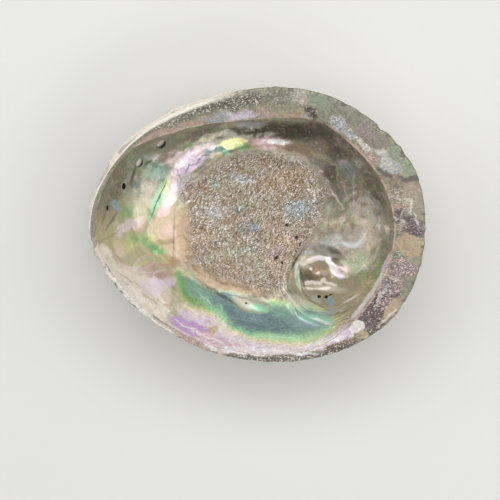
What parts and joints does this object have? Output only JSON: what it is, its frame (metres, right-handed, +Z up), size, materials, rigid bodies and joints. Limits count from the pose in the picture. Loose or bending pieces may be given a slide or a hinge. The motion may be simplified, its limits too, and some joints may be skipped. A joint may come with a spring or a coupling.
{
  "type": "abalone shell",
  "caption": "Polished abalone shell lying on its back: a shallow ear-shaped pearly bowl with a broad ledge on one side, a rough muscle scar, a spire hollow and a curving row of pores.",
  "frame": {"origin": "bottom centre of the shell's box, at the level of the worn flat of the crown that it rests on", "axes": "+Z up out of the bowl; -X towards the growing tip, along the shell's length; +Y across the shell, towards the side with the pores"},
  "size_m": [0.191, 0.1564, 0.056],
  "materials": {
    "nacre": "polished mother-of-pearl, iridescent, with a rough granular scar and a mottled ledge"
  },
  "bodies": {
    "root": {"shell": "nacre"}
  },
  "joints": []
}
